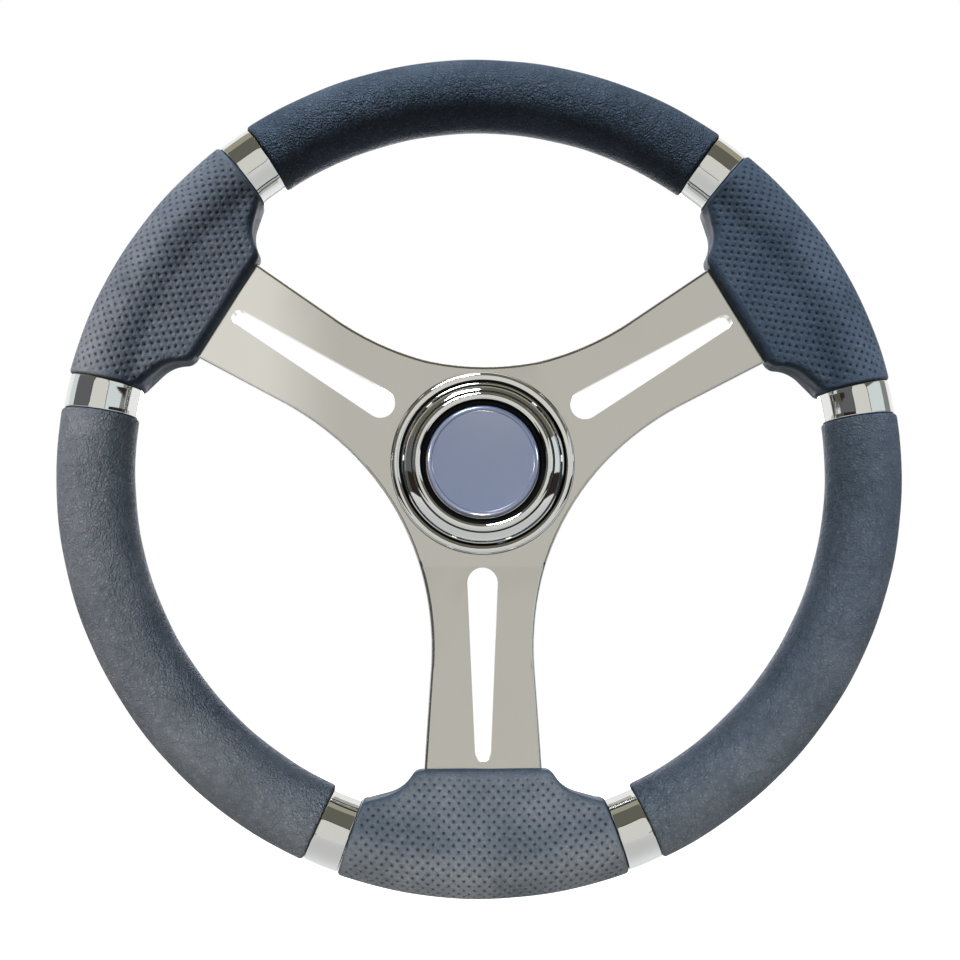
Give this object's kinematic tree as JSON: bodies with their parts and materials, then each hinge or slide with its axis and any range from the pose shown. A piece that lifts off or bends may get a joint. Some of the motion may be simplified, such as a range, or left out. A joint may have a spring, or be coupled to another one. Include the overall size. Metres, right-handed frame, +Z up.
{
  "type": "boat steering wheel",
  "caption": "Round boat steering wheel with a dished spoke plate, padded leather rim, chrome collars and a hub for a tapered shaft.",
  "frame": {"origin": "middle of the bore's mouth in the hub's back face, where the helm shaft enters", "axes": "+Y along the shaft bore, the way the shaft leaves, so that the driver is on the -Y side; +Z up, midway between the two upper spokes"},
  "size_m": [0.35, 0.0772, 0.35],
  "materials": {
    "polished_stainless": "mirror polished",
    "turned_stainless": "turned and polished",
    "rod_steel": "drawn",
    "chrome_plating": "mirror plated",
    "screw_steel": "satin",
    "seal_rubber": "moulded",
    "cap_paint": "satin lacquer",
    "grained_leather": "grained, soft sheen",
    "perforated_leather": "perforated, soft sheen"
  },
  "bodies": {
    "wheel": {"spoke_plate": "polished_stainless", "rim_rod": "rod_steel", "hub_boss": "turned_stainless", "hub_bezel": "chrome_plating", "bezel_screws": "screw_steel", "cap_seal": "seal_rubber", "spoke_pad_right": "perforated_leather", "spoke_pad_left": "perforated_leather", "spoke_pad_bottom": "perforated_leather", "rim_grip_top": "grained_leather", "rim_grip_lower_left": "grained_leather", "rim_grip_lower_right": "grained_leather", "collar_right_a_front": "chrome_plating", "collar_right_a_back": "chrome_plating", "collar_right_b_front": "chrome_plating", "collar_right_b_back": "chrome_plating", "collar_left_a_front": "chrome_plating", "collar_left_a_back": "chrome_plating", "collar_left_b_front": "chrome_plating", "collar_left_b_back": "chrome_plating", "collar_bottom_a_front": "chrome_plating", "collar_bottom_a_back": "chrome_plating", "collar_bottom_b_front": "chrome_plating", "collar_bottom_b_back": "chrome_plating"},
    "cap": {"centre_cap": "cap_paint"}
  },
  "joints": [
    {"name": "cap_pull", "type": "slide", "parent": "wheel", "child": "cap", "axis": [0, -1, 0], "range_m": [0, 0.012]}
  ]
}
